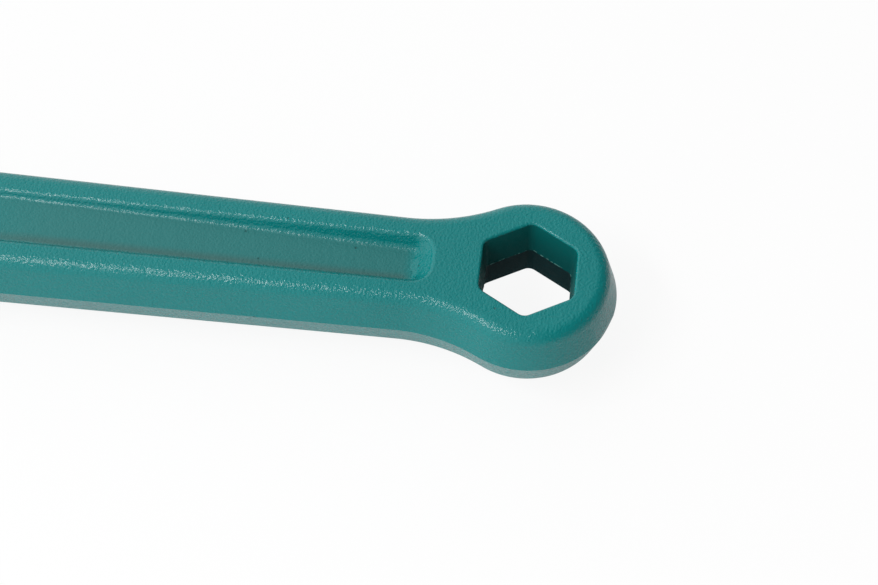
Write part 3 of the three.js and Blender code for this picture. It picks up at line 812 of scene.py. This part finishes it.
thread_start, tail_x = hook_x + 16, hook_high.x
shank_half = SHANK_THICKNESS / 2
THREAD_SPREAD = 36
THREAD_STEP = 0.22
spread = [math.radians(a) for a in range(-THREAD_SPREAD, THREAD_SPREAD + 1, 4)]
stations = int((tail_x - thread_start) / THREAD_STEP)
valley = THREAD_RADIUS - THREAD_DEPTH
points = []
for k in range(stations + 1):
    x = thread_start + (tail_x - thread_start) * k / stations
    most = THREAD_RADIUS - max(0, x - tail_x + TAIL_CHAMFER)
    for edge_angle in (0, math.pi):
        for a in spread:
            angle = a + edge_angle
            radius = thread_radius(x, angle, valley, THREAD_RADIUS, THREAD_CREST, THREAD_ROOT)
            radius = min(radius, most)
            side_z = min(max(radius * math.sin(angle), -shank_half), shank_half)
            points.append((x, shank_y + radius * math.cos(angle), side_z))
shank = solid("shank", points, tube(stations + 1, 2 * len(spread)))
shank.data.materials.append(forged.material)
ring = [Vector(p) for p in (
    (hook_x - HOOK_HEIGHT / 4, plain_front), (thread_start + 0.4, plain_front),
    (thread_start + 0.4, shank_back - GAP), (hook_x - HOOK_HEIGHT / 4, shank_back - GAP),
)]
plain = loft("plain_shank", ring, rounded(shank_half - 0.01, 0.3, 2))
plain.data.materials.append(forged.material)
combine(hook_jaw, plain, "UNION")
combine(hook_jaw, shank, "UNION")
down = tip_y + TEETH_FROM_TIP - root_y
count = int((-down - TEETH_FROM_ROOT) / TOOTH_PITCH)
foot = Vector((hook_x - down * math.sin(HOOK_LEAN), root_y + down * math.cos(HOOK_LEAN)))
comb = teeth("hook_teeth", count, HOOK_LEAN, foot, -TOOTH_DEPTH)
comb.data.materials.append(ground.material)
combine(hook_jaw, comb)
smooth(hook_jaw)
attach(hook_jaw, "hook_jaw")
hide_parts("hook_jaw")


# ---------- Adjusting nut ----------
# Turned from bar, threaded right through and knurled with straight flutes. Black oxide covers
# it, and thumbs have rubbed the tips of the knurl bright.

NUT_RADIUS = (nut_high.z - nut_low.z) / 2
KNURLS = 26
KNURL_DEPTH = 1.0
THREAD_CLEARANCE = 0.35
NUT_CREST = 2.1
NUT_ROOT = 3.02
END_CHAMFER = 1.5

per_knurl = 12
sides = KNURLS * per_knurl
flute = [0, 0, 0.03, 0.15, 0.55, 0.9, 1, 0.9, 0.55, 0.15, 0.03, 0]
bore = valley + 1.5 * THREAD_CLEARANCE
outer = []
for run in (0, 0.4, 0.8, 1.2, END_CHAMFER, 2.2, 5, 8, 11):
    outer.append((run, max(0, END_CHAMFER - run)))
outer += [(nut_length - run, cut) for run, cut in outer[-2::-1]]
points = []
for run, cut in outer:
    for k in range(sides):
        angle = 2 * math.pi * (k - 0.5) / sides
        radius = min(NUT_RADIUS - 0.05 - KNURL_DEPTH * flute[k % per_knurl], NUT_RADIUS - cut)
        points.append((nut_low.x + run, shank_y + radius * math.cos(angle), radius * math.sin(angle)))
stations = 80
for step in range(stations + 1):
    x = nut_high.x - nut_length * step / stations
    lead = 1.0 - min(x - nut_low.x, nut_high.x - x)
    for k in range(sides):
        angle = 2 * math.pi * (k - 0.5) / sides
        radius = thread_radius(x, angle, bore, THREAD_RADIUS + THREAD_CLEARANCE, NUT_CREST, NUT_ROOT)
        radius = max(radius, bore + 1.3 * lead)
        points.append((x, shank_y + radius * math.cos(angle), radius * math.sin(angle)))
faces = []
for low in range(0, len(points), sides):
    high = (low + sides) % len(points)
    for k in range(sides):
        after = (k + 1) % sides
        faces.append((low + k, low + after, high + after, high + k))
nut = solid("nut", points, faces)

oxide = Finish("black oxide", Metallic=0.85)
out_from = {0: oxide.place, 1: (0, shank_y, 0)}
from_axis = oxide.node("ShaderNodeVectorMath", {"operation": "SUBTRACT"}, out_from)
off_axis = oxide.node("ShaderNodeVectorMath", {"operation": "MULTIPLY"}, {0: from_axis, 1: (0, 1, 1)})
radius_here = oxide.node("ShaderNodeVectorMath", {"operation": "LENGTH"}, {0: off_axis}, "Value")
rub = oxide.grain(2.4, 3, 0.6)
bare = oxide.steps(radius_here + rub * 0.6, NUT_RADIUS - 0.1, NUT_RADIUS + 0.25)
fine = oxide.grain(0.4, 3, 0.6)
dark = oxide.blend(oxide.grain(6, 2, 0.5), colour(52, 54, 58), colour(70, 70, 72))
oxide.set("Base Color", oxide.blend(bare, dark, colour(168, 166, 162)))
oxide.set("Roughness", 0.3 + fine * 0.2)
oxide.relief(fine * 0.02 + rub * 0.03)
nut.data.materials.append(oxide.material)
smooth(nut)
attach(nut, "nut")
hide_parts("adjusting_nut")


# ---------- Flat spring ----------
# Spring steel strip, bent at the top into a lip that hooks over the collar. Hardening left a
# straw and blue temper on it.

LIP = 1.2
STRIP_HALF_WIDTH = 4.5
RIVET_RADIUS = 1.2
RIVET_GAP = 0.12
lip_x = collar_x - LIP - STRIP
strip_end = nut_x - window_half_x - (nut_radius * ROCK + GAP) / 2
outline = chain(
    arc(lip_x + 1.6, strip_back - 1.6, 1.6, 180, 90, 10),
    arc(strip_end - 0.4, strip_back - 0.4, 0.4, 90, 0, 30),
    arc(strip_end - 0.4, strip_front + 0.4, 0.4, 0, -90, 30),
    arc(lip_x + 1.6, strip_front - 0.6, 0.6, 90, 180, 15),
    arc(lip_x + 0.6, passage_front - 0.6, 0.4, 0, -90, 30),
    arc(lip_x + 0.4, passage_front - 0.6, 0.4, 270, 180, 30),
)
strip = loft("strip", outline, rounded(STRIP_HALF_WIDTH, 0.25, 3))
temper = Finish("tempered spring steel", Metallic=1.0)
heat = temper.grain(7, 3, 0.55)
rolled = temper.grain(0.5, 3, 0.6, (0.12, 1, 1))
stops = [
    (0.3, colour(132, 130, 126)), (0.45, colour(150, 134, 104)),
    (0.55, colour(104, 88, 108)), (0.7, colour(76, 92, 124)),
]
tint = temper.node("ShaderNodeValToRGB", {"stops": stops}, {0: heat})
temper.set("Base Color", temper.blend(rolled * 0.5, tint, colour(120, 122, 126)))
temper.set("Roughness", 0.24 + rolled * 0.2)
temper.relief(rolled * 0.015)
strip.data.materials.append(temper.material)
bore_radius = RIVET_RADIUS + RIVET_GAP
drill = [(strip_front - 1, bore_radius), (strip_back + 1, bore_radius)]
tool = turned("strip_bore", "Y", Vector((spring_x, 0, 0)), drill)
tool.data.materials.append(temper.material)
combine(strip, tool)
smooth(strip)
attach(strip, "jaw_carrier")
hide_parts("flat_spring")


# ---------- Coil spring ----------
# Music wire wound with closed ends. It stands in a pocket drilled into the casting, and pushes
# the strip and the shank so that the jaw tilts open.

WIRE = 1.1
TURNS = 5.5
CLOSED = 0.75
coil_radius = (coil_high.x - coil_low.x) / 2 - WIRE / 2
low, high = coil_low.y + WIRE / 2, coil_high.y - WIRE / 2
end_rise = 0.62 * WIRE
count, sides = 220, 14
points = []
for k in range(count + 1):
    turns = TURNS * k / count
    middle = min(max((turns - CLOSED) / (TURNS - 2 * CLOSED), 0), 1)
    rise = end_rise * (min(turns, CLOSED) + max(0, turns - TURNS + CLOSED)) / CLOSED
    y = low + rise + (high - low - 2 * end_rise) * middle
    angle = 2 * math.pi * turns
    for j in range(sides):
        a = 2 * math.pi * j / sides
        radius = coil_radius + WIRE / 2 * math.cos(a)
        around = (spring_x + radius * math.cos(angle), radius * math.sin(angle))
        points.append((around[0], y + WIRE / 2 * math.sin(a), around[1]))
coil = solid("coil", points, tube(count + 1, sides))
coil.data.materials.append(temper.material)
smooth(coil, 60)
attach(coil, "handle")
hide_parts("coil_spring")
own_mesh(coil)


# ---------- Spring rivet ----------
# A soft steel rivet, cold headed and zinc plated. Its tail goes through the strip, and its domed
# head stands inside the coil's last turn, which keeps the coil's end in place.

DOME = 0.75
rivet_low, rivet_high = box_of("spring_rivet")
head_radius, head_high = (rivet_high.x - rivet_low.x) / 2, strip_front - 0.15
profile = []
for degrees in range(8, 91, 8):
    turn = math.radians(degrees)
    profile.append((rivet_low.y + DOME * (1 - math.cos(turn)), head_radius * math.sin(turn)))
profile += [(head_high - 0.15, head_radius), (head_high, head_radius - 0.15)]
profile += [(head_high, RIVET_RADIUS), (rivet_high.y - 0.2, RIVET_RADIUS)]
profile.append((rivet_high.y, RIVET_RADIUS - 0.2))
rivet = turned("rivet", "Y", Vector((spring_x, 0, 0)), profile, 32)
rivet.data.materials.append(zinc.material)
smooth(rivet)
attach(rivet, "jaw_carrier")
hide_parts("spring_rivet")


# ---------- Studio ----------
# A matt paper table in a bright room, which is lighter on the left and low down. One soft lamp
# stands close above the grip, on the left.

TABLE_HALF_WIDTH = 6
mesh = bpy.data.meshes.new("table_top")
corners = [(-1, -1, 0), (1, -1, 0), (1, 1, 0), (-1, 1, 0)]
mesh.from_pydata([Vector(c) * TABLE_HALF_WIDTH for c in corners], [], [(0, 1, 2, 3)])
table_top = bpy.data.objects.new("table_top", mesh)
bpy.context.scene.collection.objects.link(table_top)
paper = Finish("pale paper", Base_Color=(0.9, 0.9, 0.9, 1), Roughness=1)
paper.shader.inputs["Specular IOR Level"].default_value = 0
seen = paper.node("ShaderNodeLightPath", output="Is Camera Ray")
mirrored = paper.node("ShaderNodeLightPath", output="Is Glossy Ray")
through = paper.node("ShaderNodeLightPath", output="Is Transmission Ray")
white = paper.node("ShaderNodeEmission", {}, {"Color": (1, 1, 1, 1), "Strength": 1})
share = seen * 0.9 + mirrored * 0.15 + through * 0.9
matt = Socket(paper, paper.shader.outputs[0])
mixed = paper.node("ShaderNodeMixShader", {}, {0: share, 1: matt, 2: white})
paper.feed(paper.tree.nodes["Material Output"].inputs["Surface"], mixed)
mesh.materials.append(paper.material)


def hang(thing, aim, azimuth, elevation, distance):
    """Points a lamp or a camera at a spot from some millimetres off. Azimuth 0 is in front."""
    a, e = math.radians(azimuth), math.radians(elevation)
    away = Vector((math.sin(a) * math.cos(e), -math.cos(a) * math.cos(e), math.sin(e)))
    thing.location = aim + away * distance * MM
    thing.rotation_euler = away.to_track_quat("Z", "Y").to_euler()
    bpy.context.scene.collection.objects.link(thing)


light = bpy.data.lights.new("key", "AREA")
light.shape, light.size, light.size_y, light.energy = "RECTANGLE", 0.26, 0.075, 0.95
hang(bpy.data.objects.new("key", light), hole, -58, 55, 480)

world = bpy.data.worlds.new("studio")
bpy.context.scene.world = world
world.use_nodes = True
room = Nodes(world.node_tree)
sky = room.node("ShaderNodeTexCoord", output="Generated")
rise = room.node("ShaderNodeMapRange", {}, {
    "Value": room.node("ShaderNodeSeparateXYZ", {}, {0: sky}, "Z"),
    "From Min": 0.1, "From Max": 0.75, "To Min": 0.6, "To Max": 0.42,
})
turn = room.node("ShaderNodeMapRange", {}, {
    "Value": room.node("ShaderNodeSeparateXYZ", {}, {0: sky}, "X"),
    "From Min": -0.5, "From Max": 0.5, "To Min": 0.85, "To Max": -0.35,
})
straight = room.node("ShaderNodeLightPath", output="Is Camera Ray")
pale = rise.maths("MAXIMUM", rise + turn, straight)
room.feed(room.tree.nodes["Background"].inputs["Color"], pale)

# The camera looks down on the eye from the jaws' side, with the grip running out to the left.
CAMERA_DISTANCE = 364.3
LENS, SENSOR = 69.72, 36
aim = hole + Vector((-18.59, -2.58, 0)) * MM
camera = bpy.data.objects.new("camera", bpy.data.cameras.new("camera"))
camera.data.lens, camera.data.sensor_width = LENS, SENSOR
camera.data.clip_start = 0.01
hang(camera, aim, 6.803, 59.536, CAMERA_DISTANCE)
bpy.context.scene.camera = camera
bpy.context.scene.view_settings.view_transform = "Standard"
